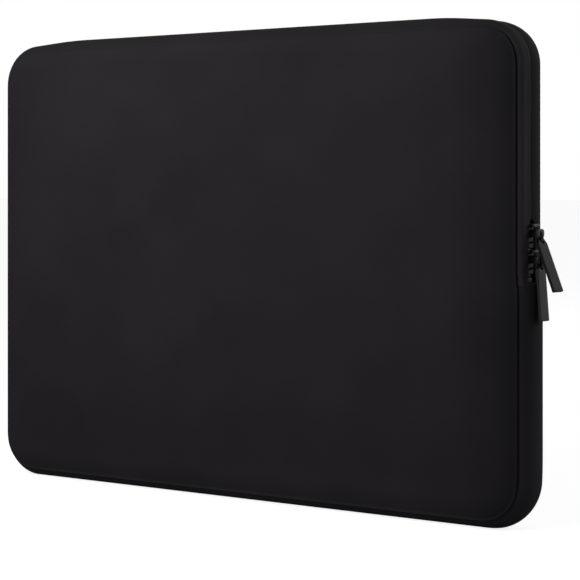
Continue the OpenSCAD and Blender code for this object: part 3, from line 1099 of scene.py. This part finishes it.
def build_pull(name, axis, angle_deg, hinge):
    """A flat cast tab with a long rounded eye, hanging from its hinge at an angle to the vertical."""
    turn = math.atan2(hinge[0], -hinge[1])
    head, shoulder, tip = 2.2, 4.25, 4.4
    corners = [(-head, 0.8), (head, 0.8), (shoulder, -2.6), (tip, -PULL_LENGTH), (-tip, -PULL_LENGTH),
               (-shoulder, -2.6)]
    outline = rounded_outline(corners, [1.2, 1.2, 2.0, 0.6, 0.6, 2.0], 7)
    eye = rounded_outline([(-1.35, -0.72), (1.35, -0.72), (1.5, -2.45), (-1.5, -2.45)], [0.5, 0.5, 0.9, 0.9])
    tab = plate(name, outline, PULL_T, 0.32, holes=(eye,))
    flat = Matrix(((0, 0, 1, 0), (1, 0, 0, 0), (0, 1, 0, 0), (0, 0, 0, 1)))
    swing = Matrix.Rotation(turn, 4, "Z") @ Matrix.Rotation(-math.radians(angle_deg), 4, "Y")
    tab.data.transform(Matrix.Translation(axis * MM) @ swing @ flat)
    return smooth_by_angle(tab)


def smooth_by_angle(obj, degrees=38):
    """Smooth shading that keeps flat faces flat and sharp edges sharp."""
    bm = bmesh.new()
    bm.from_mesh(obj.data)
    for face in bm.faces:
        face.smooth = True
    for edge in bm.edges:
        edge.smooth = len(edge.link_faces) == 2 and edge.calc_face_angle(0) < math.radians(degrees)
    bm.to_mesh(obj.data)
    bm.free()
    weighted = obj.modifiers.new("weighted", "WEIGHTED_NORMAL")
    weighted.keep_sharp = True
    return apply_modifiers(obj)


def build_sliders():
    for word, axis, angle, paint in (
        ("upper", UPPER_AXIS, UPPER_PULL_ANGLE, UPPER_PULL),
        ("lower", LOWER_AXIS, LOWER_PULL_ANGLE, LOWER_PULL),
    ):
        slider = build_slider(word + "_zip_slider", word + "_slider", axis)
        hand_over(slider, SLIDER, [word + "_slider"], word + "_slider")
        pull = build_pull(word + "_pull_tab", axis, angle, joint(word + "_pull_swing")["axis"])
        hand_over(pull, paint, [word + "_pull"], word + "_pull")


def build_zip_end(name, node, half_y, half_z, radius, thick, paint):
    """A small rounded plate in the place of a CAD node at an end of the zip."""
    low, high = box_mm(node)
    outline = rounded_outline(rectangle(-half_y, -half_z, half_y, half_z), radius)
    piece = plate(name, outline, thick, bevel=0.3)
    piece.data.transform(facing_out(*(low + high) / 2))
    smooth_by_angle(piece)
    hand_over(piece, paint, [node], "root")


def build_zip_ends():
    """The crimped stop and the cloth tab at each end of the zip."""
    for word in ("right", "left"):
        build_zip_end(word + "_crimped_stop", word + "_end_stop", 2.7, 1.3, 0.8, 1.4, SLIDER)
        tab = word + "_zip_end_tab"
        low, high = box_mm(tab)
        _, half_y, half_z = (high - low) / 2
        build_zip_end(word + "_inner_tab", tab, half_y, half_z, 2.5, 1.0, BINDING)


# ---- stage ----

def build_camera():
    """Level view from the front and to the right of the sleeve, through a long lens shifted down."""
    camera = bpy.data.objects.new("camera", bpy.data.cameras.new("camera"))
    bpy.context.scene.collection.objects.link(camera)
    camera.location = (0.587, -0.8425, 0.181)
    camera.rotation_euler = (math.radians(90), 0, math.radians(33.57))
    camera.data.lens = 108.1
    camera.data.sensor_width = 36
    camera.data.shift_y = -0.1717
    bpy.context.scene.camera = camera


def area_light(name, place, target, size, watts):
    light = bpy.data.lights.new(name, "AREA")
    light.shape = "RECTANGLE"
    light.size, light.size_y = size
    light.energy = watts
    obj = bpy.data.objects.new(name, light)
    bpy.context.scene.collection.objects.link(obj)
    obj.location = place
    obj.rotation_euler = (Vector(target) - Vector(place)).to_track_quat("-Z", "Y").to_euler()


def build_floor():
    """Flat paper that the camera sees as white."""
    reach = 30.0
    mesh = bpy.data.meshes.new("floor")
    mesh.from_pydata([(x, y, 0) for x, y in rectangle(-reach, -reach, reach, reach)], [], [(0, 1, 2, 3)])
    floor = bpy.data.objects.new("floor", mesh)
    bpy.context.scene.collection.objects.link(floor)
    nodes = Nodes(bpy.data.materials.new("floor_paper"))
    grain = nodes.noise(nodes.place(), 60, 3.0)
    seen = nodes.add("ShaderNodeLightPath").outputs["Is Camera Ray"]
    mesh.materials.append(nodes.finish(
        Base_Color=nodes.mix(grain, shade(0.38), shade(0.42)), Roughness=0.9, Specular_IOR_Level=0.1,
        Emission_Color=shade(1.0), Emission_Strength=nodes.math("MULTIPLY", seen, 0.86),
    ))


def build_sky():
    """White where the camera sees it; as a light, dim and brighter from the right and behind."""
    world = bpy.data.worlds.new("studio")
    bpy.context.scene.world = world
    nodes = Nodes(world)
    direction = nodes.add("ShaderNodeTexCoord").outputs["Generated"]
    toward = nodes.add("ShaderNodeVectorMath", {0: direction, 1: (0.45, 0.85, 0.2)}, operation="DOT_PRODUCT")
    glow = nodes.add("ShaderNodeMapRange", {
        "Value": toward.outputs["Value"], "From Min": -0.2, "From Max": 1.0, "To Min": 0.07, "To Max": 0.50,
    })
    seen = nodes.add("ShaderNodeLightPath").outputs["Is Camera Ray"]
    strength = nodes.add("ShaderNodeMix", {"Factor": seen, "A": glow.outputs["Result"], "B": 1.0})
    background = nodes.add("ShaderNodeBackground", {"Strength": strength.outputs["Result"]})
    background.inputs["Color"].default_value = shade(1.0)
    nodes.add("ShaderNodeOutputWorld", {"Surface": background.outputs[0]})


build_panel("front", -1, 1.0, None, "lower_front", "flap")
build_panel("rear", 1, 9.0, "root", "back")
build_gusset()
build_gusset_lining()
build_pair("zip_lip", "upper", 0.8, facing_section, ["rear_zip_facing"], ["front_zip_facing"],
           [REAR_FACING, FRONT_FACING])
build_pair("seam_binding", "loop", 1.0, binding_section, ["back_binding"],
           ["lower_front_binding", "flap_binding"], [BINDING])
build_pair("tape", "upper", 2.0, tape_section, ["rear_zip_tape"], ["front_zip_tape"], [TAPE])
build_coil()
build_sliders()
build_zip_ends()
build_camera()
build_floor()
build_sky()
area_light("key", (-0.11, -0.46, 0.463), target=(0, 0, 0.14), size=(0.45, 0.35), watts=2.85)
area_light("rim", (1.15, 1.7, 0.8), target=(0, 0, 0.14), size=(0.8, 1.0), watts=10.0)
bpy.context.scene.view_settings.view_transform = "Standard"
